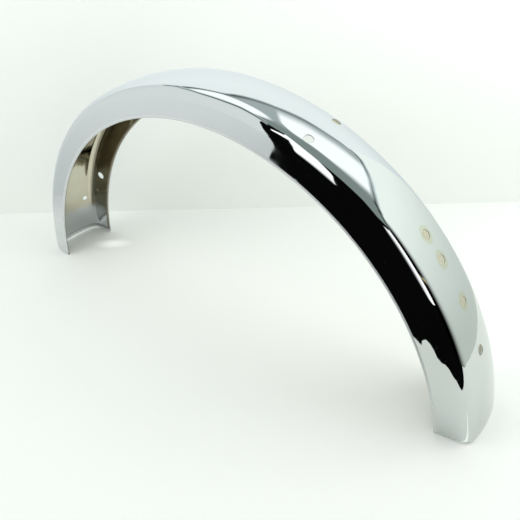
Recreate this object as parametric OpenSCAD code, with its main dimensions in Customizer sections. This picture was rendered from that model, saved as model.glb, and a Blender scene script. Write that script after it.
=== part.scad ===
// Rear mudguard of a moped, pressed from one sheet of steel and chromed.
// It stands on its two ends as an arch. X runs along the moped with the tail end at +X,
// Y runs across it, and Z is up. The origin is on the floor under the middle of the arch.

/* [Arch] */
// Radius of the outside of the crown, seen from the side
arch_r = 300; // [280:1:340]
// Angle of the arc from end to end, in degrees
arch_span = 171; // [150:1:175]

/* [Section] */
// Thickness of the sheet
sheet_t = 1; // [0.8:0.1:1.2]
// Width across the outside of the two rims
guard_w = 75.5; // [70:0.5:90]
// Depth from the top of the crown to the bottom of the rims
guard_depth = 36.8; // [32:0.2:42]
// Radius of the gentle curve across the crown
crown_r = 116; // [100:1:160]
// Outside radius of the shoulders, where the crown turns down into the side walls
shoulder_r = 12.8; // [10:0.2:15]
// Angle by which each side wall leans out towards its rim, in degrees
wall_lean = 4.7; // [2:0.1:7]

/* [Rolled edges] */
// Outside radius of the roll along the rims and the ends
roll_r = 2; // [1.8:0.1:2.4]
// Length of each rim, next to a corner, where the roll is cut back to a small lip
corner_gap = 8; // [6:0.5:12]

/* [Tail holes] */
// Diameter of the holes on the middle line of the crown, for the lamp and the number plate
tail_hole_d = 9; // [6:0.5:10]
// Distance along the crown from the tail end to the lowest hole
tail_hole_1 = 75; // [60:1:90]
// Distance from the tail end to the second hole
tail_hole_2 = 122; // [105:1:135]
// Distance from the tail end to the third hole
tail_hole_3 = 162; // [150:1:170]
// Distance from the tail end to the highest hole
tail_hole_4 = 186; // [182:1:200]

/* [Frame holes] */
// Diameter of the pair of holes for the luggage rack
rack_hole_d = 9; // [6:0.5:10]
// Diameter of the pair of holes for the frame
frame_hole_d = 7; // [6:0.5:10]
// Distance between the two holes of a pair, across the crown
pair_spacing = 45; // [36:1:46]
// Distance along the crown from the tail end to the pair for the luggage rack
rack_pair = 309; // [280:1:340]
// Distance along the crown from the front end to the pair for the frame
frame_pair = 54.5; // [40:0.5:70]
// Diameter of the single hole in the side wall at +Y
stay_hole_d = 10; // [6:0.5:11]
// Distance along the crown from the front end to the stay hole
stay_hole = 102.5; // [90:0.5:120]
// Depth of the stay hole below the top of the crown
stay_hole_depth = 19.5; // [18:0.5:24]

/* [Hidden] */

tail_holes = [tail_hole_1, tail_hole_2, tail_hole_3, tail_hole_4];

// Facets of the long arc and of the round holes
fine = 240;
small = 48;

// Degrees that one straight step of an outline covers on the crown, a shoulder and a roll
crown_step = 2.5;
shoulder_step = 6;
roll_step = 22.5;

// How far a cutting tool reaches past the sheet on each side
reach = 6;

// The roll of an end is this much thinner on each face than the sheet its tongue sits in
seat = 0.1;
tongue = 0.6;

// The roll of an end is this much thicker round a shoulder, and laps its neighbours there
lap = 0.03;
lap_a = 1.5;

// Thickness of the lip that is left where the rim's roll is cut back, beyond the sheet's own
lip = 0.15;

// How far the end's roll runs past the foot of the straight wall, to stand on
foot = 1.5;

// The section is drawn with its first coordinate as the distance from the arc's axis
// and its second across the guard. The outward normal of the leaning wall is:
wall_n = [sin(wall_lean), cos(wall_lean)];
wall_dir = [-cos(wall_lean), sin(wall_lean)];

// Centre of the rim's roll, and the point where the wall runs into that roll
rim_c = [arch_r - guard_depth + roll_r, guard_w / 2 - roll_r];
wall_end = rim_c + roll_r * wall_n;

// The shoulder touches both the crown's curve and the wall. The angle between the top of
// the crown and the start of the shoulder, about the centre of the crown's curve, is:
crown_c = [arch_r - crown_r, 0];
crown_a = asin((wall_n * wall_end - shoulder_r - crown_c[0] * wall_n[0])
               / (crown_r - shoulder_r)) - wall_lean;
shoulder_c = crown_c + (crown_r - shoulder_r) * [cos(crown_a), sin(crown_a)];
shoulder_a = 90 - wall_lean - crown_a;
wall_top = shoulder_c + shoulder_r * wall_n;
wall_len = (wall_top[0] - wall_end[0]) / cos(wall_lean);

// Angles of the ends above the horizontal through the arc's axis
end_a = 90 - arch_span / 2;
end_roll_r = roll_r - seat;
sheet_end_a = end_a + end_roll_r / arch_r * 180 / PI;
corner_a = end_a + corner_gap / (arch_r - guard_depth) * 180 / PI;

// Height of the arc's axis below the floor: the guard stands on the tips of its end rolls
tip_r = wall_end[0] - foot * cos(wall_lean) - roll_r * sin(wall_lean);
axis_drop = tip_r * sin(end_a);

// Turns a distance along the crown into an angle of the arc
function arc_angle(s) = s / arch_r * 180 / PI;

// Points on an arc about c, in equal steps no longer than the given one
function arc_points(c, r, from, to, step) =
    let (n = ceil((to - from) / step))
        [for (i = [0:n]) let (a = from + (to - from) * i / n) c + r * [cos(a), sin(a)]];

function reversed(p) = [for (i = [len(p) - 1:-1:0]) p[i]];

// One face of the sheet at +Y, a depth d into the metal: crown, shoulder, wall and roll
function face_line(d) = concat(
    arc_points(crown_c, crown_r - d, 0, crown_a, crown_step),
    arc_points(shoulder_c, shoulder_r - d, crown_a, 90 - wall_lean, shoulder_step),
    arc_points(rim_c, roll_r - d, 90 - wall_lean, 360 - wall_lean, roll_step)
);

function mirrored(p) = [for (q = p) [q[0], -q[1]]];

// The whole section of the sheet
module section() {
    outer = face_line(0);
    inner = face_line(sheet_t);
    polygon(concat(reversed(mirrored(outer)), outer, reversed(inner), mirrored(inner)));
}

// The section carried round the arc between the two end rolls
module shell() {
    rotate([0, 0, sheet_end_a])
        rotate_extrude(angle = 180 - 2 * sheet_end_a, $fn = fine)
            section();
}

// The block that cuts the rim's roll back to a lip beside the corner at +Y of the tail end
module corner_cut() {
    far = 1.5 * roll_r;
    near = roll_r - sheet_t - lip;
    rotate_extrude(angle = corner_a, $fn = fine)
        polygon([
            rim_c + near * wall_n - far * wall_dir,
            rim_c - far * wall_n - far * wall_dir,
            rim_c - far * wall_n + far * wall_dir,
            rim_c + near * wall_n + far * wall_dir
        ]);
}

// The corner cuts of both rims at the tail end
module tail_corner_cuts() {
    corner_cut();
    mirror([0, 0, 1])
        corner_cut();
}

// The roll of an end: three quarters of a turn, with a tongue that sits in the sheet
module end_roll_section(extra) {
    out_r = end_roll_r + extra;
    in_r = roll_r - sheet_t + seat - extra;
    polygon(concat(
        [[in_r, -tongue], [out_r, -tongue]],
        arc_points([0, 0], out_r, 0, 270, roll_step),
        reversed(arc_points([0, 0], in_r, 0, 270, roll_step))
    ));
}

// The end's roll carried round a curve of outside radius r
module curved_roll(r, from, to, extra) {
    rotate([0, 0, from])
        rotate_extrude(angle = to - from, $fn = fine)
            translate([r - roll_r, -end_roll_r])
                end_roll_section(extra);
}

// The roll round one shoulder and down the wall beside it
module side_roll() {
    translate(shoulder_c)
        curved_roll(shoulder_r, crown_a - lap_a, 90 - wall_lean + lap_a, lap);
    translate(wall_top)
        rotate([90, 0, 90 - wall_lean])
            mirror([0, 0, 1])
                linear_extrude(wall_len + foot)
                    translate([-roll_r, -end_roll_r])
                        end_roll_section(0);
}

// The roll along the whole of the tail end
module end_roll() {
    rotate([180, -end_a, 0]) {
        translate(crown_c)
            curved_roll(crown_r, -crown_a, crown_a, 0);
        side_roll();
        mirror([0, 1, 0])
            side_roll();
    }
}

// A drill through the crown at an angle of the arc and a distance across the guard
module crown_drill(angle, across, d) {
    rotate([0, -angle, 0])
        translate([arch_r - reach, across, 0])
            rotate([0, 90, 0])
                cylinder(d = d, h = 2 * reach, $fn = small);
}

// A drill square through the leaning side wall at +Y
module wall_drill(angle, depth, d) {
    across = wall_top[1] + (depth - arch_r + wall_top[0]) * tan(wall_lean);
    rotate([0, -angle, 0])
        translate([arch_r - depth, across, 0])
            rotate([-90, 0, -wall_lean])
                cylinder(d = d, h = 2 * reach, center = true, $fn = small);
}

// Every hole of the guard
module holes() {
    for (s = tail_holes)
        crown_drill(end_a + arc_angle(s), 0, tail_hole_d);
    for (side = [-1, 1]) {
        crown_drill(end_a + arc_angle(rack_pair), side * pair_spacing / 2, rack_hole_d);
        crown_drill(180 - end_a - arc_angle(frame_pair), side * pair_spacing / 2, frame_hole_d);
    }
    wall_drill(180 - end_a - arc_angle(stay_hole), stay_hole_depth, stay_hole_d);
}

// The pressed sheet between its two end rolls, with its holes
module pressing() {
    difference() {
        rotate([90, 0, 0])
            shell();
        rotate([90, 0, 0])
            tail_corner_cuts();
        mirror([1, 0, 0])
            rotate([90, 0, 0])
                tail_corner_cuts();
        holes();
    }
}

// The finished guard, standing on its ends
module mudguard() {
    color([0.80, 0.82, 0.81])
        translate([0, 0, -axis_drop]) {
            pressing();
            end_roll();
            mirror([1, 0, 0])
                end_roll();
        }
}

mudguard();
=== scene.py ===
# %% [markdown]
# # A chromed rear mudguard of a moped
#
# The real thing is one sheet of steel, pressed into a U and bent round the wheel. Its long rims and
# its two ends are rolled inwards. The outside is bright chrome. Inside, where little chrome reaches,
# the duller and yellower nickel under it shows.
#
# The CAD model gives the true shape and size. This lesson lays a finer skin of the same sizes in its
# place, with soft edges and the faint waves of hand polishing, and then builds the white tent that a
# mirror-like surface needs round it, because chrome shows little else than its surroundings.

import bpy
import numpy as np
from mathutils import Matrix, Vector


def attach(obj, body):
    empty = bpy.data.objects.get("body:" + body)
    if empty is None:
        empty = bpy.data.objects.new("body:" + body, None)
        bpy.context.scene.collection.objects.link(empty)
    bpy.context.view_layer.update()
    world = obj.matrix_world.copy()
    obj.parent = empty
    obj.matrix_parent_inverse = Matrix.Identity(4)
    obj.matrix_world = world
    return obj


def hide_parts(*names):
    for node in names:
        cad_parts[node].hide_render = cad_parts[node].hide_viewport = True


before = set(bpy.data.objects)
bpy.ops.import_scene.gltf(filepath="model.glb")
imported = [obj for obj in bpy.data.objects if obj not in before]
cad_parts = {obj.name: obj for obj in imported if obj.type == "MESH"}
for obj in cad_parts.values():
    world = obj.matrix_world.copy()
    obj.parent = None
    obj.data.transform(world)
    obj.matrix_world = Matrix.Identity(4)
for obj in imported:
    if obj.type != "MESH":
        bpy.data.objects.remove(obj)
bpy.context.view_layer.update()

# %% [markdown]
# ## Camera
#
# The camera stands above the near side of the tail end and looks down along the arch. Its place, its
# three directions and its focal length were worked out together from the arch's own size. The view is
# shifted, not turned, so that the upright lines stay as they are in the picture.

# %% Camera
EYE = (0.36572, -0.37477, 0.41864)
EYE_RIGHT = (0.8114, 0.5821, -0.0528)
EYE_UP = (-0.2175, 0.3845, 0.8971)
EYE_BACK = (0.5426, -0.7164, 0.4386)
PICTURE = 520
FOCAL_PIXELS = 552.03
SENSOR = 36.0
CENTRE_PIXEL = (278.18, 176.54)

lens = bpy.data.cameras.new("camera")
lens.sensor_width = SENSOR
lens.lens = FOCAL_PIXELS / PICTURE * SENSOR
lens.shift_x = (PICTURE / 2 - CENTRE_PIXEL[0]) / PICTURE
lens.shift_y = (CENTRE_PIXEL[1] - PICTURE / 2) / PICTURE
camera = bpy.data.objects.new("camera", lens)
bpy.context.scene.collection.objects.link(camera)
bpy.context.scene.camera = camera
turn = np.eye(4)
turn[:3, 0], turn[:3, 1], turn[:3, 2], turn[:3, 3] = EYE_RIGHT, EYE_UP, EYE_BACK, EYE
camera.matrix_world = turn.T
print("lens", round(lens.lens, 2), "mm, shift", round(lens.shift_x, 4), round(lens.shift_y, 4))

# %% [markdown]
# ## The sheet before it is bent
#
# A mudguard is easiest to describe as its flat blank: how far along the crown, how far across from
# the middle line, and how deep into the metal. It could also be a curve with a bevel, or a box that
# modifiers bend, but then nothing would say where on the sheet a point lies. Here every hole and every
# trimmed corner is placed on the blank, and one function bends it into shape. The same two flat
# measures later carry the plating's colours, so they can't slide on the metal.

# %% Sizes of the guard, in metres
MM = 0.001
ARCH_R = 300 * MM
ARCH_SPAN = np.radians(171)
SHEET_T = 1 * MM
GUARD_W = 75.5 * MM
GUARD_DEPTH = 36.8 * MM
CROWN_R = 116 * MM
SHOULDER_R = 12.8 * MM
WALL_LEAN = np.radians(4.7)
# Next to each corner the rim's roll is cut back over this length
CORNER_GAP = 8 * MM
# Radius and turn of the rolls at the two ends, which go on until they touch the sheet
ROLL_R = 2 * MM
END_TURN = 1.66 * np.pi
# Radius and turn of the rolls along the rims, and how high and how fast they stand out as a bead
RIM_R = 1.4 * MM
RIM_TURN = 1.5 * np.pi
BEAD = 0.6 * MM
BEAD_RUN = 1.0 * MM
# Beside the corners the straight walls stop this much short of the rims' full depth
TIP_RISE = 0.667 * MM
print("arc of", round(ARCH_R / MM), "mm, width", round(GUARD_W / MM, 1), "mm")

# %% Where crown, shoulders, walls and rims meet, on the section and on the blank
END_A = (np.pi - ARCH_SPAN) / 2
ARCH_LENGTH = ARCH_R * ARCH_SPAN
WALL_N = np.array([np.sin(WALL_LEAN), np.cos(WALL_LEAN)])
WALL_DIR = np.array([-np.cos(WALL_LEAN), np.sin(WALL_LEAN)])
RIM_C = np.array([ARCH_R - GUARD_DEPTH + RIM_R + BEAD, GUARD_W / 2 - RIM_R - BEAD / 2])
WALL_END = RIM_C + RIM_R * WALL_N
TIP_X = ARCH_R - GUARD_DEPTH + TIP_RISE
FOOT = (WALL_END[0] - TIP_X) / np.cos(WALL_LEAN)
CROWN_C = np.array([ARCH_R - CROWN_R, 0.0])
CROWN_A = np.arcsin((WALL_N @ WALL_END - SHOULDER_R - CROWN_C[0] * WALL_N[0])
                    / (CROWN_R - SHOULDER_R)) - WALL_LEAN
SHOULDER_C = CROWN_C + (CROWN_R - SHOULDER_R) * np.array([np.cos(CROWN_A), np.sin(CROWN_A)])
WALL_TOP = SHOULDER_C + SHOULDER_R * WALL_N
CROWN_EDGE = CROWN_R * CROWN_A
SHOULDER_EDGE = CROWN_EDGE + SHOULDER_R * (np.pi / 2 - WALL_LEAN - CROWN_A)
WALL_EDGE = SHOULDER_EDGE + (WALL_TOP[0] - WALL_END[0]) / np.cos(WALL_LEAN)
BEAD_START = WALL_EDGE - 0.8 * BEAD_RUN
BLANK_EDGE = WALL_EDGE + RIM_R * RIM_TURN
AXIS_DROP = (TIP_X - ROLL_R * np.sin(WALL_LEAN)) * np.sin(END_A)
print("half width of the blank", round(BLANK_EDGE / MM, 2), "mm")
print("length of the blank", round(ARCH_LENGTH / MM, 1), "mm")


# %% The section across the guard
# Stands for no curl at all, so that nothing is divided by zero
LEAST_CURL = 1e-4


def section(across, curl):
    """Places a distance across the blank on the U-shaped section.

    Crown and shoulder are circles, point = centre + radius * (cos angle, sin angle), with the angle
    growing by distance / radius. The wall is straight. The roll beyond it turns by curl * distance /
    the rim's radius, so curl 1 is a full roll and curl 0 goes straight on. The roll stands out from the
    wall as a low bead: point + curl * bead * s * s * (3 - 2 s) * normal, with s going from 0 to 1 over
    the bead's run. Returns the point (distance from the arc's axis, distance across) and the outward
    normal, each as two arrays.
    """
    side, a = np.sign(across), np.abs(across)
    crown = a / CROWN_R
    shoulder = CROWN_A + (a - CROWN_EDGE) / SHOULDER_R
    beyond = np.maximum(a - WALL_EDGE, 0)
    rate = np.maximum(curl, LEAST_CURL) / RIM_R
    turned = rate * beyond
    zones = [a < CROWN_EDGE, a < SHOULDER_EDGE]
    down = np.minimum(a, WALL_EDGE) - SHOULDER_EDGE + np.sin(turned) / rate
    inwards = (1 - np.cos(turned)) / rate
    normal = [np.select(zones, [np.cos(crown), np.cos(shoulder)],
                        WALL_N[0] * np.cos(turned) + WALL_DIR[0] * np.sin(turned)),
              np.select(zones, [np.sin(crown), np.sin(shoulder)],
                        WALL_N[1] * np.cos(turned) + WALL_DIR[1] * np.sin(turned))]
    point = [np.select(zones, [CROWN_C[k] + CROWN_R * (np.cos, np.sin)[k](crown),
                               SHOULDER_C[k] + SHOULDER_R * (np.cos, np.sin)[k](shoulder)],
                       WALL_TOP[k] + WALL_DIR[k] * down - WALL_N[k] * inwards) for k in (0, 1)]
    run = np.clip((a - BEAD_START) / BEAD_RUN, 0, 1)
    lift = BEAD * curl * run ** 2 * (3 - 2 * run)
    point = [point[k] + lift * normal[k] for k in (0, 1)]
    return point[0], side * point[1], normal[0], side * normal[1]


print("foot of the wall", round(float(section(np.array(WALL_EDGE), 1.0)[1]) / MM, 2), "mm from the middle")

# %% [markdown]
# ## Polish and bend
#
# A mirror shows the smallest wave in its surface. The grinding and polishing of a pressed sheet leave
# waves a few hundredths of a millimetre high, and without them the reflections would look drawn with a
# ruler. A few long sines over the blank are enough. They belong to the shape, not to a bump map, since
# they should bend the silhouette of each reflection too. Then the blank is bent round the wheel.

# %% The polish's faint waves
WAVE_FADE = 20 * MM
WAVES = [
    # mm along per wave, mm across per wave, height in mm, phase
    (83, 61, 0.030, 0.4),
    (47, -39, 0.012, 2.1),
    (131, 23, 0.018, 4.0),
    (29, 53, 0.005, 1.3),
]


def polish(along, across):
    """Height of the waves that polishing leaves: a sum of long, very low sines over the blank."""
    height = 0
    for per_along, per_across, high, phase in WAVES:
        wave = along / (per_along * MM) + across / (per_across * MM)
        height = height + high * MM * np.sin(2 * np.pi * wave + phase)
    return height * np.clip((BLANK_EDGE - np.abs(across)) / WAVE_FADE, 0, 1)


print("waves up to", round(sum(high for _, _, high, _ in WAVES), 3), "mm high")


# %% Bending the blank into the arch
def bend(along, across, depth, curl=1.0):
    """Bends points of the blank into the standing guard.

    along is measured on the crown from the tail end, across from the middle line, and depth from
    the outer face inwards. The section is carried round the arc: point = (x cos a, y, x sin a).
    Past the last 2 mm of each end the sheet rolls inwards until it touches its own inner face:
    point = centre of roll + (roll radius - depth) * (normal * cos t + outwards * sin t).
    """
    first, last = ROLL_R, ARCH_LENGTH - ROLL_R
    flat = np.clip(along, first, last)
    over = along - flat
    t = np.abs(over) / ROLL_R
    angle = END_A + flat / ARCH_R
    x, y, nx, ny = section(across, curl)
    c, s = np.cos(angle), np.sin(angle)
    normal = np.stack([nx * c, ny, nx * s], -1)
    outwards = np.stack([-s, 0 * s, c], -1) * np.sign(over)[..., None]
    base = np.stack([x * c, y, x * s - AXIS_DROP], -1)
    radius = (ROLL_R - depth + polish(flat, across) * (t == 0))[..., None]
    t = t[..., None]
    return base + normal * (radius * np.cos(t) - ROLL_R) + outwards * radius * np.sin(t)


print("top of the crown", np.round(bend(np.array(ARCH_LENGTH / 2), np.array(0.0), 0.0), 4))

# %% [markdown]
# ## Holes
#
# Four holes on the middle line near the tail take the lamp and the number plate. One pair takes the
# rack, and a pair and a single hole near the front fix the guard to the frame. Cutting them with a
# boolean would leave long thin triangles that a mirror finish shows as dents. Here the grid keeps a
# square free round each hole, and rings of quads lead from the square to the circle.

# %% Places of the holes on the blank
TAIL_HOLES = [75 * MM, 122 * MM, 162 * MM, 186 * MM]
RACK_PAIR = 309 * MM
FRAME_PAIR = ARCH_LENGTH - 54.5 * MM
STAY_HOLE = ARCH_LENGTH - 102.5 * MM
PAIR_SPACING = 45 * MM
STAY_DEPTH = 19.5 * MM
TAIL_HOLE_R = RACK_HOLE_R = 4.5 * MM
FRAME_HOLE_R = 3.5 * MM
STAY_HOLE_R = 5 * MM
PAIR_ACROSS = CROWN_R * np.arcsin(PAIR_SPACING / 2 / CROWN_R)
STAY_ACROSS = SHOULDER_EDGE + (STAY_DEPTH - ARCH_R + WALL_TOP[0]) / np.cos(WALL_LEAN)
HOLES = [(place, 0.0, TAIL_HOLE_R) for place in TAIL_HOLES]
for place, radius in ((RACK_PAIR, RACK_HOLE_R), (FRAME_PAIR, FRAME_HOLE_R)):
    HOLES += [(place, side * PAIR_ACROSS, radius) for side in (-1, 1)]
HOLES.append((STAY_HOLE, STAY_ACROSS, STAY_HOLE_R))
print(len(HOLES), "holes")

# %% Grid lines of the blank
# Longest step along the arch, half a hole's square, and how many cells each stretch gets
STEP = 3.2 * MM
PATCH = 6 * MM
PATCH_CELLS = 8
ROLL_CELLS = 12
CORNER_CELLS = 3


def stepped(stops, counts):
    """Joins even steps between the stops: each stretch is start + (end - start) * i / count."""
    parts = [np.linspace(a, b, n + 1)[:-1] for a, b, n in zip(stops[:-1], stops[1:], counts)]
    return np.append(np.concatenate(parts), stops[-1])


roll_length = ROLL_R * END_TURN
stops = [ROLL_R - roll_length, ROLL_R, CORNER_GAP]
counts = [ROLL_CELLS, CORNER_CELLS]
for place in sorted({h[0] for h in HOLES}):
    near, far = place - PATCH, place + PATCH
    counts += [max(1, round((near - stops[-1]) / STEP)), PATCH_CELLS]
    stops += [near, far]
stops += [ARCH_LENGTH - CORNER_GAP, ARCH_LENGTH - ROLL_R, ARCH_LENGTH - ROLL_R + roll_length]
counts += [max(1, round((stops[-3] - stops[-4]) / STEP)), CORNER_CELLS, ROLL_CELLS]
ALONG = stepped(stops, counts)

# The narrow strip before the bead keeps its turned normals off the wide cells of the wall
LIP = WALL_EDGE + FOOT
BEFORE_BEAD = BEAD_START - 0.4 * BEAD_RUN
half_stops = [0, PATCH, PAIR_ACROSS - PATCH, PAIR_ACROSS + PATCH, STAY_ACROSS - PATCH, STAY_ACROSS + PATCH,
              BEFORE_BEAD, BEAD_START, LIP, BLANK_EDGE]
HALF = stepped(half_stops, [PATCH_CELLS // 2, 3, PATCH_CELLS, 9, PATCH_CELLS, 3, 2, 8, 10])
ACROSS = np.concatenate([-HALF[:0:-1], HALF])
print(len(ALONG), "lines along,", len(ACROSS), "lines across")

# %% [markdown]
# ## One closed skin
#
# The sheet has an outer face, an inner face and a thin edge all round. The Solidify modifier could
# thicken a single surface, but it knows nothing of the tight rolls or of the rounded edges of the
# holes. Here both faces come from the same points of the blank, at depth zero and at the sheet's
# thickness, and strips of quads join them through the holes and along every free edge. The inner face
# is kept apart by its material.


# %% The skin as one closed mesh
def nearest(lines, value):
    """Index of the grid line at a value."""
    return int(np.argmin(np.abs(lines - value)))


def square_loop(i0, i1, j0, j1):
    """Grid indices round a block, counted the same way round as the faces, as rows of (i, j)."""
    j_up, i_up = np.arange(j0, j1), np.arange(i0, i1)
    return np.concatenate([
        np.stack([np.full(len(j_up), i0), j_up], -1),
        np.stack([i_up, np.full(len(i_up), j1)], -1),
        np.stack([np.full(len(j_up), i1), j_up[::-1] + 1], -1),
        np.stack([i_up[::-1] + 1, np.full(len(i_up), j0)], -1),
    ])


# Rounding of a hole's edge, and how far on the way from square to circle each ring lies
EDGE_ROUND = 0.2 * MM
RINGS = [0.3, 0.6, 0.85]


def hole_rings(loop_s, loop_w, hole):
    """Rings of points from a square of the grid, down through a hole, to the square on the inside.

    Between square and circle a point is (1 - f) * square + f * circle, both at the same bearing
    from the hole's centre. Returns (along, across, depth) for each ring in turn.
    """
    s0, w0, r = hole
    bearing = np.arctan2(loop_w - w0, loop_s - s0)

    def circle(radius):
        return s0 + radius * np.cos(bearing), w0 + radius * np.sin(bearing)

    rim_s, rim_w = circle(r + EDGE_ROUND)
    flat = [((1 - f) * loop_s + f * rim_s, (1 - f) * loop_w + f * rim_w) for f in RINGS]
    out = [(s, w, 0.0) for s, w in flat + [(rim_s, rim_w)]]
    throat = [(*circle(r), EDGE_ROUND), (*circle(r), SHEET_T - EDGE_ROUND)]
    back = [(s, w, SHEET_T) for s, w in [(rim_s, rim_w)] + flat[::-1]]
    return out + throat + back


def skin():
    """Vertices on the blank as (along, across, depth, curl), faces, and which faces are inside.

    The roll's curl grows beside each corner as room ** 2 * (3 - 2 room), with room going from 0 to 1
    between the end's roll and the end of the gap.
    """
    rows, columns = len(ALONG), len(ACROSS)
    s, w = np.meshgrid(ALONG, ACROSS, indexing="ij")
    gap = CORNER_GAP - ROLL_R
    room = np.clip(np.minimum(s, ARCH_LENGTH - s) - ROLL_R, 0, gap) / gap
    curl = room ** 2 * (3 - 2 * room)
    points = [np.stack([s, w, np.full_like(s, d), curl], -1).reshape(-1, 4) for d in (0.0, SHEET_T)]
    number = np.arange(rows * columns).reshape(rows, columns)
    kept = np.ones((rows - 1, columns - 1), bool)
    mid_s, mid_w = (ALONG[1:] + ALONG[:-1]) / 2, (ACROSS[1:] + ACROSS[:-1]) / 2
    near_end = (mid_s < CORNER_GAP) | (mid_s > ARCH_LENGTH - CORNER_GAP)
    kept[np.ix_(near_end, np.abs(mid_w) > LIP)] = False
    extra, faces, inside = [], [], []
    count = 2 * rows * columns
    for hole in HOLES:
        i0, i1 = nearest(ALONG, hole[0] - PATCH), nearest(ALONG, hole[0] + PATCH)
        j0, j1 = nearest(ACROSS, hole[1] - PATCH), nearest(ACROSS, hole[1] + PATCH)
        kept[i0:i1, j0:j1] = False
        loop = square_loop(i0, i1, j0, j1)
        rings = [number[loop[:, 0], loop[:, 1]]]
        for rs, rw, rd in hole_rings(ALONG[loop[:, 0]], ACROSS[loop[:, 1]], hole):
            extra.append(np.stack([rs, rw, np.full_like(rs, rd), np.ones_like(rs)], -1))
            rings.append(count + np.arange(len(rs)))
            count += len(rs)
        rings.append(rings[0] + rows * columns)
        for k, (a, b) in enumerate(zip(rings[:-1], rings[1:])):
            faces.append(np.stack([a, np.roll(a, -1), np.roll(b, -1), b], -1))
            inside.append(np.full(len(a), k > len(rings) // 2))
    i, j = np.nonzero(kept)
    outer = np.stack([number[i, j], number[i, j + 1], number[i + 1, j + 1], number[i + 1, j]], -1)
    inner = outer[:, ::-1] + rows * columns
    sides = np.concatenate([outer[:, [k, (k + 1) % 4]] for k in range(4)])
    # The first of each hole's bands starts on the square that the grid kept free
    bands = 2 * len(RINGS) + 5
    patch_sides = np.concatenate([f[:, :2] for f in faces[::bands]])
    every = np.concatenate([sides, patch_sides])
    # A side that only one face uses is on the free edge, where outer and inner face are joined
    key = every.min(1) * 2 * rows * columns + every.max(1)
    _, first, times = np.unique(key, return_index=True, return_counts=True)
    a, b = every[first[times == 1]].T
    rim = np.stack([b, a, a + rows * columns, b + rows * columns], -1)
    faces = np.concatenate([outer, inner, rim] + faces)
    inside = np.concatenate([np.zeros(len(outer), bool), np.ones(len(inner), bool),
                             np.zeros(len(rim), bool)] + inside)
    used, faces = np.unique(faces, return_inverse=True)
    return np.concatenate(points + extra)[used], faces.reshape(-1, 4), inside


blank, quads, inner_face = skin()
shape = bend(*blank[:, :3].T, curl=blank[:, 3])
print(len(blank), "points,", len(quads), "faces")
print("box", np.round(shape.min(0), 4), np.round(shape.max(0), 4))


# %% Put the skin into a mesh
def piece_from(name, points, faces, smooth=True):
    """Makes a mesh object from arrays of points and four-sided faces."""
    mesh = bpy.data.meshes.new(name)
    mesh.vertices.add(len(points))
    mesh.vertices.foreach_set("co", np.ascontiguousarray(points, np.float32).ravel())
    mesh.loops.add(faces.size)
    mesh.loops.foreach_set("vertex_index", faces.ravel().astype(np.int32))
    mesh.polygons.add(len(faces))
    mesh.polygons.foreach_set("loop_start", np.arange(0, faces.size, 4, dtype=np.int32))
    mesh.polygons.foreach_set("use_smooth", np.full(len(faces), smooth))
    mesh.update()
    mesh.validate()
    made = bpy.data.objects.new(name, mesh)
    bpy.context.scene.collection.objects.link(made)
    return made


SHARP = np.radians(50)
guard = piece_from("mudguard_shell", shape, quads)
guard_uv = guard.data.uv_layers.new(name="blank")
guard_uv.data.foreach_set("uv", blank[quads.ravel(), :2].astype(np.float32).ravel())
guard.data.polygons.foreach_set("material_index", inner_face.astype(np.int32))
guard.data.set_sharp_from_angle(angle=SHARP)
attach(guard, "root")
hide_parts("mudguard")
print(guard.name, len(guard.data.polygons), "faces")

# %% [markdown]
# ## Chrome and nickel
#
# Decorative chrome is a film over nickel. It is almost a perfect mirror, slightly blue, with hairline
# polishing marks that only soften the brightest edges. The polishing wheel doesn't reach the rolled
# rims and ends, so they are duller. Towards the tail end the chrome's colour is darker, painted shade
# that dims its reflections there. Round three of the tail holes the current has burnt the plating to
# a dull cream ring. Inside the U the chrome reaches in only a little way from the ends and rims. Beyond
# that the nickel shows, warmer and rougher. On the walls towards the front end it is darkened by painted
# shade. Images painted on the metal could show all this too, but they blur close up. Here the blank's
# own measures, kept as a UV map, place each tone.


# %% Helpers for materials
def new_material(name):
    """A new material with its node tree and its Principled shader."""
    made = bpy.data.materials.new(name)
    made.use_nodes = True
    return made, made.node_tree, made.node_tree.nodes["Principled BSDF"]


def add(tree, kind, *links):
    """Adds a node, joins the given outputs to its first inputs, and returns its first output."""
    made = tree.nodes.new(kind)
    for index, link in enumerate(links):
        tree.links.new(link, made.inputs[index])
    return made.outputs[0]


def maths(tree, operation, *values):
    """A Math node on sockets or numbers."""
    made = tree.nodes.new("ShaderNodeMath")
    made.operation = operation
    for index, value in enumerate(values):
        if isinstance(value, (int, float)):
            made.inputs[index].default_value = value
        else:
            tree.links.new(value, made.inputs[index])
    return made.outputs[0]


def ramp_between(tree, value, start, end, low=0.0, high=1.0):
    """Smoothly maps value from start..end to low..high."""
    made = tree.nodes.new("ShaderNodeMapRange")
    made.interpolation_type = "SMOOTHSTEP"
    tree.links.new(value, made.inputs["Value"])
    for name, number in (("From Min", start), ("From Max", end), ("To Min", low), ("To Max", high)):
        made.inputs[name].default_value = number
    return made.outputs["Result"]


def oval(tree, sockets, middle, halves):
    """Distance from the middle of an oval, counted as 1 on its edge.

    It is the square root of the sum of ((measure - middle) / half width) ** 2 over both measures.
    """
    squares = []
    for socket, centre, half in zip(sockets, middle, halves):
        share = maths(tree, "DIVIDE", maths(tree, "SUBTRACT", socket, centre), half)
        squares.append(maths(tree, "MULTIPLY", share, share))
    return maths(tree, "SQRT", maths(tree, "ADD", *squares))


def mix_colour(tree, factor, first, second):
    """Mixes two colours, each a socket or four numbers."""
    made = tree.nodes.new("ShaderNodeMix")
    made.data_type = "RGBA"
    tree.links.new(factor, made.inputs[0])
    for socket, value in ((made.inputs[6], first), (made.inputs[7], second)):
        if isinstance(value, tuple):
            socket.default_value = value
        else:
            tree.links.new(value, socket)
    return made.outputs[2]


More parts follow.
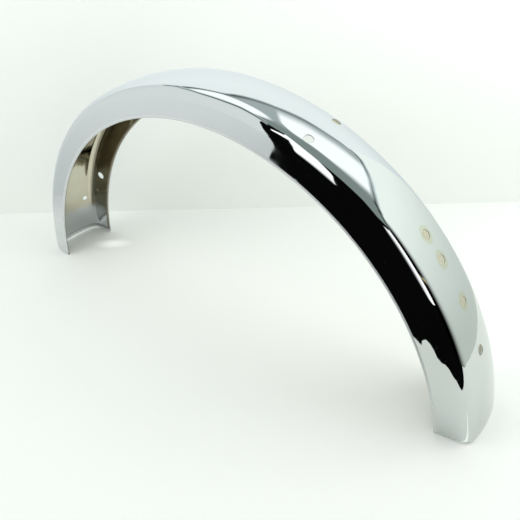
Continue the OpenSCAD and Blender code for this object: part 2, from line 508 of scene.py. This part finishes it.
def noise(tree, vector, scale, detail, stretch=(1, 1, 1)):
    """Noise on the blank, in cells per metre."""
    mapping = tree.nodes.new("ShaderNodeMapping")
    mapping.inputs["Scale"].default_value = stretch
    tree.links.new(vector, mapping.inputs["Vector"])
    made = tree.nodes.new("ShaderNodeTexNoise")
    made.inputs["Scale"].default_value = scale
    made.inputs["Detail"].default_value = detail
    tree.links.new(mapping.outputs[0], made.inputs["Vector"])
    return made.outputs[0]


# %% Measures of the blank for a material
# The rim's roll turns to the inside of the guard between these two
TUCK_START = WALL_EDGE + 2.0 * MM
TUCK_END = WALL_EDGE + 2.8 * MM
# The rim's roll begins between these two, and an end's roll at its own radius, give or take this
RIM_START = WALL_EDGE - 1.2 * MM
RIM_FULL = WALL_EDGE - 0.6 * MM
END_SOFT = 0.5 * MM


def blank_measures(tree):
    """The blank's two measures in metres, along and across, and both as one vector."""
    uv = tree.nodes.new("ShaderNodeUVMap")
    uv.uv_map = "blank"
    split = tree.nodes.new("ShaderNodeSeparateXYZ")
    tree.links.new(uv.outputs[0], split.inputs[0])
    return split.outputs[0], split.outputs[1], uv.outputs[0]


def from_end(tree, along):
    """Distance along the blank from the nearer end."""
    return maths(tree, "MINIMUM", along, maths(tree, "SUBTRACT", ARCH_LENGTH, along))


def from_middle(tree, across):
    """Distance across the blank from its middle line."""
    return maths(tree, "ABSOLUTE", across)


def tucked_in(tree, across, before, after):
    """Goes from before to after where the rim's roll turns to the inside of the guard."""
    return ramp_between(tree, from_middle(tree, across), TUCK_START, TUCK_END, before, after)


def rolled(tree, along, across):
    """Is 1 on the rolled rims and ends, where the polishing wheel doesn't reach, and 0 on the rest."""
    on_rim = maths(tree, "MULTIPLY", tucked_in(tree, across, 1.0, 0.0),
                   ramp_between(tree, from_middle(tree, across), RIM_START, RIM_FULL))
    on_end = ramp_between(tree, from_end(tree, along), ROLL_R + END_SOFT, ROLL_R - END_SOFT)
    return maths(tree, "MAXIMUM", on_rim, on_end)


print("the roll turns inside", round((TUCK_START - WALL_EDGE) / MM, 1), "mm beyond the wall")

# %% Chrome
CHROME = (0.66, 0.69, 0.70, 1)
CHROME_HAZE = (0.69, 0.715, 0.71, 1)
# Colour of the painted shade that dims the chrome's reflections towards the tail end
CHROME_TAIL_SHADE = (0.605, 0.64, 0.625, 1)
TUCKED = (0.30, 0.27, 0.21, 1)
BURNT = (0.62, 0.64, 0.53, 1)
# Painted shade that darkens the tail end: full up to the first distance along, gone at the second
TAIL_SHADE = (85 * MM, 150 * MM)
# Half sizes of a burnt ring, how ragged it is, and where it fades out in ovals of that size
BURNT_HALVES = (9 * MM, 7.6 * MM)
BURNT_RAGGED = 0.25
BURNT_FADE = 1.15
# Cells per metre of the ring's ragged edge and of the haze, which is finer across the guard
RAGGED_CELLS = 400
HAZE_CELLS = 60
HAZE_STRETCH = (1, 2.5, 1)
# The haze's values from and to which roughness goes from the first to the second number
HAZE_RANGE = (0.35, 0.8)
CHROME_ROUGH = (0.02, 0.05)
# What the rolls lose in metal and gain in roughness, and what a burnt ring gains in roughness
ROLL_METAL_LOSS = 0.6
ROLL_ROUGH = 0.4
BURNT_ROUGH = 0.15


def chrome():
    """Bright chrome, dull on the rolls, with burnt rings round the three upper tail holes."""
    made, tree, shader = new_material("bright_chrome")
    along, across, both = blank_measures(tree)
    on_roll = rolled(tree, along, across)
    tree.links.new(maths(tree, "MULTIPLY_ADD", on_roll, -ROLL_METAL_LOSS, 1.0), shader.inputs["Metallic"])
    wobble = noise(tree, both, RAGGED_CELLS, detail=2)
    halo = None
    for place in TAIL_HOLES[1:]:
        away = oval(tree, (along, across), (place, 0.0), BURNT_HALVES)
        ragged = maths(tree, "MULTIPLY_ADD", wobble, BURNT_RAGGED, away)
        spot = ramp_between(tree, ragged, BURNT_FADE, 1.0)
        halo = spot if halo is None else maths(tree, "MAXIMUM", halo, spot)
    haze = noise(tree, both, HAZE_CELLS, detail=3, stretch=HAZE_STRETCH)
    colour = mix_colour(tree, haze, CHROME, CHROME_HAZE)
    # Painted shade: the chrome's colour darkens towards the tail end
    colour = mix_colour(tree, ramp_between(tree, along, TAIL_SHADE[1], TAIL_SHADE[0]), colour, CHROME_TAIL_SHADE)
    colour = mix_colour(tree, tucked_in(tree, across, 0.0, 1.0), colour, TUCKED)
    tree.links.new(mix_colour(tree, halo, colour, BURNT), shader.inputs["Base Color"])
    rough = ramp_between(tree, haze, *HAZE_RANGE, *CHROME_ROUGH)
    dull = maths(tree, "MAXIMUM", maths(tree, "MULTIPLY", halo, BURNT_ROUGH),
                 maths(tree, "MULTIPLY", on_roll, ROLL_ROUGH))
    tree.links.new(maths(tree, "ADD", rough, dull), shader.inputs["Roughness"])
    return made


# %% Nickel inside
NICKEL = (0.66, 0.62, 0.48, 1)
NICKEL_LIGHT = (0.78, 0.74, 0.62, 1)
# Painted shade: the colour of the darkened inner walls towards the front end
NICKEL_WALL_SHADE = (0.27, 0.245, 0.18, 1)
THIN_CHROME = (0.70, 0.73, 0.74, 1)
# Cells per metre of the nickel's clouds, and how they set its roughness
CLOUD_CELLS = 45
CLOUD_RANGE = (0.3, 0.75)
NICKEL_ROUGH = (0.03, 0.06)
# How far the chrome reaches in from an end, how far the clouds shift that, and how soft it is
CHROME_REACH = 42 * MM
CLOUD_SHIFT = 18 * MM
REACH_SOFT = 14 * MM
# How far it reaches in from the blank's edge at a rim: from and to
RIM_REACH = (7 * MM, 9 * MM)
# Where the walls' painted shade begins: beyond the crown, and along the arch towards the front end
WALL_SHADE_ACROSS = (CROWN_EDGE + 5 * MM, CROWN_EDGE + 7.5 * MM)
WALL_SHADE_ALONG = (ARCH_LENGTH - 330 * MM, ARCH_LENGTH - 230 * MM)


def nickel():
    """Dull warm nickel, painted shade on the walls near the front, thin chrome near ends and rims."""
    made, tree, shader = new_material("thin_plating_inside")
    along, across, both = blank_measures(tree)
    shader.inputs["Metallic"].default_value = 1.0
    to_rim = maths(tree, "SUBTRACT", BLANK_EDGE, from_middle(tree, across))
    cloud = noise(tree, both, CLOUD_CELLS, detail=3)
    drift = maths(tree, "MULTIPLY_ADD", cloud, CLOUD_SHIFT, from_end(tree, along))
    deep = ramp_between(tree, drift, CHROME_REACH, CHROME_REACH + REACH_SOFT)
    deep = maths(tree, "MULTIPLY", deep, ramp_between(tree, to_rim, *RIM_REACH))
    warm = mix_colour(tree, cloud, NICKEL, NICKEL_LIGHT)
    # Painted shade darkens the walls beyond the crown towards the front end
    shaded_wall = maths(tree, "MULTIPLY", ramp_between(tree, from_middle(tree, across), *WALL_SHADE_ACROSS),
                    ramp_between(tree, along, *WALL_SHADE_ALONG))
    warm = mix_colour(tree, shaded_wall, warm, NICKEL_WALL_SHADE)
    tree.links.new(mix_colour(tree, deep, THIN_CHROME, warm), shader.inputs["Base Color"])
    rough = ramp_between(tree, cloud, *CLOUD_RANGE, *NICKEL_ROUGH)
    tree.links.new(rough, shader.inputs["Roughness"])
    return made


guard.data.materials.append(chrome())
guard.data.materials.append(nickel())
print("materials", [m.name for m in guard.data.materials])

# %% [markdown]
# ## The white tent
#
# Chrome has no colour of its own to speak of: it draws the room. The room here is a small white tent,
# open towards the camera, with lamps above its cloth top. Through the open front the metal sees a dark
# room with two bright windows. A picture of a real room, wrapped round the scene, could stand in for
# it, but it would be infinitely far away, and here the cloth is so near that its edges run along the
# arch in long curves. The floor and the back wall are real surfaces that take shadows. The rest are
# thin cards that only reflections can see, so that they stand in nobody's way when the guard is looked
# at from another side.

# %% Directions and sizes of the tent
TENT_RIGHT = np.array([0.8387, 0.5446, 0.0])
TENT_BACK = np.array([-0.5446, 0.8387, 0.0])
TENT_UP = np.array([0.0, 0.0, 1.0])
RIGHT, AWAY, UP = 0, 1, 2
# Metres from the middle of the guard to the back wall, the side cards, the cloth top and the windows
BACK = 0.233
SIDE = 0.45
TOP = 0.56
WINDOWS = -0.52
# Height of the side cards and of the back wall, half width of floor and wall, reach of the dark room
HIGH = 0.95
WALL_HIGH = 1.6
WIDE = 4.0
FAR = 3.0
# A card in front of another surface stands this far off it
INSET = 0.002


def tent(right, back, up):
    """A point of the tent in the guard's own frame."""
    return right * TENT_RIGHT + back * TENT_BACK + up * TENT_UP


def upright(half, back, low, high):
    """Corners of an upright rectangle that faces the camera."""
    return [(-half, back, low), (half, back, low), (half, back, high), (-half, back, high)]


print("tent", 2 * SIDE, "m wide and", TOP, "m high")


# %% Surfaces and glows of the stage
MATT_ROUGH = 0.9
MATT_GLOSS = 0.1


def only_reflected(made):
    """Hides a card from everything but mirror-like rays."""
    made.visible_camera = made.visible_diffuse = made.visible_transmission = False
    made.visible_volume_scatter = made.visible_shadow = False


def outline(name, corners, material):
    """A flat surface of the stage with any number of corners."""
    mesh = bpy.data.meshes.new(name)
    mesh.from_pydata([tent(*c) for c in corners], [], [range(len(corners))])
    made = bpy.data.objects.new(name, mesh)
    bpy.context.scene.collection.objects.link(made)
    mesh.materials.append(material)
    return made


def card(name, corners, material):
    """A flat surface that only reflections see."""
    only_reflected(outline(name, corners, material))


def glow(name):
    """A card that shines: its material, node tree and shader."""
    made = bpy.data.materials.new(name)
    made.use_nodes = True
    tree = made.node_tree
    tree.nodes.clear()
    shader = tree.nodes.new("ShaderNodeEmission")
    out = tree.nodes.new("ShaderNodeOutputMaterial")
    tree.links.new(shader.outputs[0], out.inputs[0])
    made.cycles.emission_sampling = "NONE"
    return made, tree, shader


def matt(name, colour, own_light):
    """A plain matt paint, which may shine a little with a colour of its own."""
    made, tree, shader = new_material(name)
    shader.inputs["Base Color"].default_value = (*colour, 1)
    shader.inputs["Roughness"].default_value = MATT_ROUGH
    shader.inputs["Specular IOR Level"].default_value = MATT_GLOSS
    shader.inputs["Emission Color"].default_value = (*own_light, 1)
    return made, tree, shader


def tent_measures(tree):
    """Sockets with a point's distance right, back and up in the tent."""
    place = tree.nodes.new("ShaderNodeTexCoord").outputs["Object"]
    found = []
    for direction in (TENT_RIGHT, TENT_BACK, TENT_UP):
        along = tree.nodes.new("ShaderNodeVectorMath")
        along.operation = "DOT_PRODUCT"
        tree.links.new(place, along.inputs[0])
        along.inputs[1].default_value = direction
        found.append(along.outputs["Value"])
    return found


def product(tree, measures, grades):
    """Multiplies smooth steps, each (axis, start, end, at start, at end) along a measure of the tent."""
    factor = 1.0
    for axis, *numbers in grades:
        factor = maths(tree, "MULTIPLY", ramp_between(tree, measures[axis], *numbers), factor)
    return factor


def graded(name, low, high, grades, fades=()):
    """A card whose glow goes from low to high with the product of the grades, and fades to black.

    Each grade or fade is (axis, start, end, at start, at end), a smooth step along one measure.
    """
    made, tree, shader = glow(name)
    measures = tent_measures(tree)
    colour = mix_colour(tree, product(tree, measures, grades), (*low, 1), (*high, 1))
    for axis, *numbers in fades:
        colour = mix_colour(tree, ramp_between(tree, measures[axis], *numbers), (0, 0, 0, 1), colour)
    tree.links.new(colour, shader.inputs["Color"])
    return made


# %% [markdown]
# ## Floor and back wall
#
# Both are matt white. The metal throws a soft patch of light on the floor beside the front foot. Real
# light paths could make it, but they take thousands of samples to come out clean, so the patch is a
# little glow of the floor itself. The wall glows a little too, more towards its upper right, as cloth
# does with light behind it. Seen from behind, the wall lets the camera through.

# %% Floor
# Middle of the patch of light, its half sizes, where it fades out in ovals of that size, and its glow
SPILL_AT = (-0.186, 0.139)
SPILL_HALVES = (0.030, 0.013)
SPILL_FADE = 1.1
SPILL_GLOW = 0.26
floor_paint, floor_tree, floor_shader = matt("white_floor", (0.90, 0.93, 0.90), (1, 1, 0.96))
from_spill = oval(floor_tree, tent_measures(floor_tree)[:UP], SPILL_AT, SPILL_HALVES)
floor_tree.links.new(ramp_between(floor_tree, from_spill, SPILL_FADE, 0.0, 0.0, SPILL_GLOW),
                     floor_shader.inputs["Emission Strength"])
outline("floor", [(-WIDE, -WIDE, 0), (WIDE, -WIDE, 0), (WIDE, WIDE, 0), (-WIDE, WIDE, 0)], floor_paint)
print("patch of light at", np.round(tent(*SPILL_AT, 0), 3))

# %% Back wall
WALL_GLOW = [(UP, 0.05, 0.40, 0.03, 0.13), (RIGHT, -0.35, 0.05, 0.3, 1.0)]
wall_paint, wall_tree, wall_shader = matt("white_wall", (0.87, 0.91, 0.87), (1, 1, 1))
wall_tree.links.new(product(wall_tree, tent_measures(wall_tree), WALL_GLOW),
                    wall_shader.inputs["Emission Strength"])
behind = maths(wall_tree, "MULTIPLY", add(wall_tree, "ShaderNodeLightPath"),
               wall_tree.nodes.new("ShaderNodeNewGeometry").outputs["Backfacing"])
see_through = add(wall_tree, "ShaderNodeMixShader", behind, wall_shader.outputs[0],
                  add(wall_tree, "ShaderNodeBsdfTransparent"))
wall_tree.links.new(see_through, wall_tree.nodes["Material Output"].inputs[0])
wall = outline("back_wall", upright(WIDE, BACK, 0, WALL_HIGH), wall_paint)
wall.visible_glossy = False
print("back wall", BACK, "m behind the middle")

# %% [markdown]
# ## Cloth sides
#
# Each side is one flat card that shines. Cloth is brighter near the lamps, so every card goes softly
# from a low tone to a high one. Where the cloth ends the metal sees the dark room, and the line between
# them is what the eye takes for chrome. The corners of a card's outline lie where such a line, followed
# from the camera to the metal and on to the card, meets it.

# %% Back, left and right cloth
card("back_card", upright(SIDE, BACK - INSET, 0, HIGH),
     graded("back_cloth", (0.74, 0.80, 0.81), (1.14, 1.21, 1.20),
            [(UP, 0.10, 0.46, 0.0, 1.0), (RIGHT, -0.45, 0.1, 0.85, 1.0)]))
card("left_floor", [(-SIDE, -0.05, INSET / 2), (-0.34, -0.05, INSET / 2), (-0.34, BACK, INSET / 2),
                    (-SIDE, BACK, INSET / 2)],
     graded("left_floor_glow", (0.73, 0.77, 0.77), (0.88, 0.91, 0.88), [(RIGHT, -0.45, -0.34, 0.0, 1.0)]))
LEFT_EDGE = [(-0.384, 0), (-0.345, 0.035), (-0.322, 0.055), (-0.326, 0.072), (-0.322, 0.095),
             (-0.330, 0.125), (-0.346, 0.160), (-0.366, 0.200), (-0.390, 0.270), (-0.408, 0.330),
             (-0.424, 0.400), (-0.440, 0.480), (-0.455, 0.600), (-0.47, 2 * HIGH)]
card("left_card", [(-SIDE, back, up) for back, up in LEFT_EDGE + [(BACK, 2 * HIGH), (BACK, 0)]],
     graded("left_cloth", (0.68, 0.73, 0.72), (0.93, 0.98, 0.96),
            [(UP, 0.0, 0.22, 0.0, 1.0), (AWAY, 0.0, 0.2, 1.0, 0.75)]))
RIGHT_TOP = [(-0.54, 0.500), (-0.30, 0.480), (-0.20, 0.465), (-0.15, 0.446), (-0.10, 0.450),
             (-0.03, 0.463), (0.03, 0.472), (0.10, 0.484), (0.16, 0.494), (0.20, 0.520), (0.235, 0.560)]
card("right_card", [(SIDE, back, up) for back, up in [(BACK, 0), (-0.54, 0)] + RIGHT_TOP],
     graded("right_cloth", (0.74, 0.80, 0.75), (1.20, 1.29, 1.21), [(UP, 0.02, 0.42, 0.0, 1.0)],
            fades=[(AWAY, -0.38, -0.17, 0.0, 1.0)]))
print("cloth edges with", len(LEFT_EDGE), "and", len(RIGHT_TOP), "corners")

# %% [markdown]
# ## The dark room
#
# In front of the tent everything is nearly black but for two windows. The black comes from one large
# card in front and one on the floor. The floor card's edge draws the lower dark outline on the inside
# of the guard. The windows are cards too, brighter than white, so that they stay white after the metal
# has dimmed them.

# %% Dark front and dark floor
NEARLY_BLACK = (0.003, 0.003, 0.003, 1)
dark, _, dark_shader = glow("dark_room")
dark_shader.inputs["Color"].default_value = NEARLY_BLACK
ROOM_BACK = WINDOWS - 0.2
ROOM_LOW = -0.3
card("dark_front", upright(FAR, ROOM_BACK, ROOM_LOW, FAR), dark)
FLOOR_EDGE = [(-FAR, -0.25), (-0.456, -0.25), (-0.45, -0.39), (-0.372, -0.362), (-0.20, -0.31),
              (0.0, -0.268), (0.109, -0.248), (0.103, -0.254), (0.104, -0.260), (0.112, -0.259),
              (0.121, -0.255), (0.131, -0.249), (0.141, -0.247), (0.162, -0.271), (0.212, -0.294),
              (0.250, -0.283), (0.342, -0.302), (0.451, -0.326), (0.72, -0.50), (FAR, -1.4),
              (FAR, -FAR), (-FAR, -FAR)]
card("dark_floor", [(right, back, INSET / 4) for right, back in FLOOR_EDGE], dark)
print("dark floor with", len(FLOOR_EDGE), "corners")

# %% Two windows
DAYLIGHT = (1.5, 1.5, 1.5)
DUSK = (0.01, 0.01, 0.01)
LEFT_WINDOW = [(-0.43, 0.24), (-0.40, 0.30), (-0.35, 0.40), (-0.31, 0.48), (-0.29, 0.56), (-0.25, 0.75),
               (-0.43, 0.69), (-0.43, 0.78), (-0.25, 1.00), (-0.20, 1.4), (-0.05, 1.4), (-0.04, 0.83),
               (-0.009, 0.735), (0.0, 0.56), (-0.02, 0.50), (-0.06, 0.44), (-0.10, 0.38), (-0.15, 0.30),
               (-0.20, 0.25), (-0.30, 0.21)]
card("left_window", [(right, WINDOWS, up) for right, up in LEFT_WINDOW],
     graded("left_window_light", DUSK, DAYLIGHT, [(UP, 0.20, 0.37, 0.0, 1.0)]))
RIGHT_WINDOW = [(0.22, 0.30), (0.27, 0.40), (0.30, 0.45), (0.40, 0.49), (0.52, 0.56), (0.625, 0.545),
                (0.60, 0.43), (0.61, 0.33), (0.60, 0.25), (0.49, 0.177), (0.44, 0.165), (0.36, 0.150),
                (0.30, 0.150), (0.24, 0.20)]
card("right_window", [(right, WINDOWS, up) for right, up in RIGHT_WINDOW],
     graded("right_window_light", DUSK, DAYLIGHT, [(RIGHT, 0.23, 0.37, 0.0, 1.0)]))
print("windows at", WINDOWS, "m")

# %% [markdown]
# ## The cloth top and the poles
#
# The crown of the arch looks straight up, so its tones come from the cloth top: greyish cloth with an
# oval bright spot from the left lamp and a small one from the right lamp. Poles carry the cloth. Each
# is a ribbon with a soft edge, dark in the middle, because a sharp card would draw a hard line on the
# metal where the photographed one has a soft shadow. Two more ribbons are a gilt strip beside the tent
# and a glint on its floor.

# %% The cloth top with its two lamps
CLOTH_FRONT = (0.28, 0.34, 0.32, 1)
CLOTH_BACK = (0.50, 0.57, 0.57, 1)
LAMP_WHITE = (1.40, 1.45, 1.44, 1)
# Where along the tent the cloth goes from its front tone to its back tone
CLOTH_CHANGE = (-0.12, 0.06)
RIGHT_SPOT = [(AWAY, 0.19, 0.11, 0.0, 1.0), (AWAY, -0.065, -0.015, 0.0, 1.0), (RIGHT, 0.128, 0.148, 0.0, 1.0)]
# Middle and half sizes of the left spot, and where its edge begins and ends in ovals of that size
LEFT_SPOT_AT = (-0.11, 0.03)
LEFT_SPOT_HALVES = (0.19, 0.145)
LEFT_SPOT_EDGE = (1.08, 0.86)
LEFT_SPILL = [(AWAY, -0.12, -0.04, 0.0, 0.8), (RIGHT, -0.15, -0.27, 0.0, 1.0)]
top_cloth, top_tree, top_glow = glow("top_cloth")
top_measures = tent_measures(top_tree)
from_left_lamp = oval(top_tree, top_measures[:UP], LEFT_SPOT_AT, LEFT_SPOT_HALVES)
left_spot = maths(top_tree, "MAXIMUM", ramp_between(top_tree, from_left_lamp, *LEFT_SPOT_EDGE),
                  product(top_tree, top_measures, LEFT_SPILL))
spots = maths(top_tree, "MAXIMUM", left_spot, product(top_tree, top_measures, RIGHT_SPOT))
to_back = ramp_between(top_tree, top_measures[AWAY], *CLOTH_CHANGE)
cloth = mix_colour(top_tree, to_back, CLOTH_FRONT, CLOTH_BACK)
top_tree.links.new(mix_colour(top_tree, spots, cloth, LAMP_WHITE), top_glow.inputs["Color"])
BACK_POLE = [(-0.364, 0.170), (-0.30, 0.125), (-0.251, 0.110), (-0.13, 0.155), (-0.06, 0.195),
             (0.0, 0.210), (0.06, 0.206), (0.133, 0.192), (0.255, 0.194), (0.373, 0.212), (0.45, 0.228),
             (0.60, 0.24)]
FRONT_EDGE = [(0.60, -0.11), (0.533, -0.322), (0.61, -0.553), (0.473, -0.503), (0.363, -0.534),
              (0.290, -0.423), (0.03, -0.376), (-0.003, -0.327), (-0.016, -0.226), (-0.051, -0.220)]
LEFT_POLE = [(-0.087, -0.206), (-0.085, -0.153), (-0.107, -0.100), (-0.175, -0.082), (-0.266, -0.026),
             (-0.298, 0.094)]
card("top_card", [(right, back, TOP) for right, back in BACK_POLE + FRONT_EDGE + LEFT_POLE], top_cloth)
print("cloth top", TOP, "m up")

# %% Ribbons
ribbon_glow, ribbon_tree, ribbon_shader = glow("ribbon_glow")
shade = ribbon_tree.nodes.new("ShaderNodeAttribute")
shade.attribute_name = "shade"
ribbon_tree.links.new(shade.outputs["Color"], ribbon_shader.inputs["Color"])


def ribbon(name, path, sideways, colours):
    """A soft-edged strip along a path: three rows of points, path + offset * sideways.

    colours holds, for each point of the path, the colour on the minus side, the middle and the plus
    side, and the glow runs evenly from one to the next.
    """
    path, sideways = np.array(path), np.array(sideways)
    points = np.concatenate([path + offset * sideways for offset in (-1, 0, 1)])
    n = len(path)
    start = np.concatenate([np.arange(n - 1), n + np.arange(n - 1)])
    strips = np.stack([start, start + 1, start + n + 1, start + n], -1)
    made = piece_from(name, np.array([tent(*p) for p in points]), strips, smooth=False)
    tint = np.ones((3 * n, 4), np.float32)
    tint[:, :3] = np.array(colours, float).transpose(1, 0, 2).reshape(-1, 3)
    made.data.color_attributes.new("shade", "FLOAT_COLOR", "POINT").data.foreach_set("color", tint.ravel())
    made.data.materials.append(ribbon_glow)
    only_reflected(made)


def teal(level):
    """The dark green-blue of a shaded pole, as bright as level."""
    return (0.92 * level, 1.05 * level, 1.03 * level)


def teals(*rows):
    """Teal colours for a ribbon from three rows of levels: minus side, middle and plus side."""
    return [tuple(teal(level) for level in levels) for levels in zip(*rows)]


# %% Three poles
# Each list holds a level or half width for every point of the pole's path
BACK_HALF = [0.046] * 4 + [0.036, 0.030, 0.025] + [0.022] * 5
BACK_DARK = [0.02, 0.02, 0.02, 0.02, 0.03, 0.07, 0.15, 0.24, 0.24, 0.30, 0.34, 0.34]
BACK_CLOTH = [1.0, 1.0, 1.0, 1.1, 0.8, 0.50, 0.52, 0.55, 0.60, 0.70, 0.75, 0.75]
ribbon("back_pole", [(right, back, TOP - INSET) for right, back in BACK_POLE],
       [(0, half, 0) for half in BACK_HALF], teals(BACK_CLOTH, BACK_DARK, [1.15] * len(BACK_POLE)))
LEFT_DARK = [0.4, 0.12, 0.03, 0.02, 0.02, 0.03]
LEFT_CLOTH = [0.95] * len(LEFT_POLE)
ribbon("left_pole", [(right, back, TOP - INSET) for right, back in LEFT_POLE[::-1]], (0.040, 0.040, 0),
       teals(LEFT_CLOTH, LEFT_DARK, LEFT_CLOTH))
SIDE_DARK = [0.10, 0.10, 0.06, 0.02, 0.03, 0.30, 0.42, 0.16, 0.10, 0.20, 0.34]
SIDE_BELOW = [0.05, 0.40, 0.70, 0.75, 0.95, 1.15, 1.2, 1.1, 1.1, 1.15, 1.15]
SIDE_ABOVE = [0.05, 0.12, 0.20, 0.20, 0.22, 1.1, 1.4, 1.3, 0.9, 0.7, 0.6]
ribbon("right_pole", [(SIDE - 2 * INSET, back, up) for back, up in RIGHT_TOP], (0, 0, 0.020),
       teals(SIDE_BELOW, SIDE_DARK, SIDE_ABOVE))
print("poles with", len(BACK_POLE), len(LEFT_POLE), "and", len(RIGHT_TOP), "points")

# %% A gilt strip and a glint on the floor
GILT = (0.55, 0.47, 0.28)
GILT_EDGE = (0.02, 0.02, 0.01)
GILT_PATH = [(-0.50, 0.285), (-0.40, 0.256), (-0.31, 0.233)]
ribbon("gilt_strip", [(SIDE - 3 * INSET, back, up) for back, up in GILT_PATH], (0, 0.001, 0.011),
       [(GILT_EDGE, GILT, GILT_EDGE)] * 2 + [(GILT, GILT, GILT)])
GLINT = (1.5, 1.55, 1.5)
GLINT_EDGE = (0.8, 0.85, 0.8)
GLINT_PATH = [(0.221, -0.183), (0.232, -0.200), (0.245, -0.222), (0.256, -0.245)]
ribbon("floor_glint", [(right, back, INSET / 2) for right, back in GLINT_PATH], (0.003, 0.001, 0),
       [(GLINT_EDGE, GLINT, GLINT_EDGE)] * 3 + [(GLINT_EDGE,) * 3])

# %% [markdown]
# ## Light
#
# The cards shine only for the metal, so the floor needs light of its own. A bright even sky lights
# everything softly, as the tent's cloth does, and two broad lamps above the top give the shadows their
# direction. The camera, mirrors and clear things see the sky as pure white.

# %% Sky
SKY_LIGHT = 0.80
world = bpy.data.worlds.new("sky")
bpy.context.scene.world = world
world.use_nodes = True
sky = world.node_tree
background = sky.nodes["Background"]
background.inputs["Color"].default_value = (1, 1, 1, 1)
path = sky.nodes.new("ShaderNodeLightPath")
seen = maths(sky, "MAXIMUM", path.outputs["Is Camera Ray"], path.outputs["Is Glossy Ray"])
seen = maths(sky, "MAXIMUM", seen, path.outputs["Is Transmission Ray"])
sky.links.new(maths(sky, "MULTIPLY_ADD", seen, 1 - SKY_LIGHT, SKY_LIGHT), background.inputs["Strength"])
print("sky", SKY_LIGHT)

# %% Two lamps
# Name, place in the tent and watts
LAMPS = [("right_lamp", (0.62, -0.10, 0.62), 1.7), ("left_lamp", (-0.50, -0.20, 0.62), 1.1)]
LAMP_SIZE = (0.45, 0.35)
for name, place, watts in LAMPS:
    lamp_data = bpy.data.lights.new(name, "AREA")
    lamp_data.shape = "RECTANGLE"
    lamp_data.size, lamp_data.size_y = LAMP_SIZE
    lamp_data.energy = watts
    lamp = bpy.data.objects.new(name, lamp_data)
    bpy.context.scene.collection.objects.link(lamp)
    lamp.location = tent(*place)
    lamp.rotation_euler = Vector(lamp.location).to_track_quat("Z", "Y").to_euler()
    lamp.visible_glossy = False
    print(name, watts, "W")

bpy.context.scene.view_settings.view_transform = "Standard"

# %% The end
bpy.context.view_layer.update()
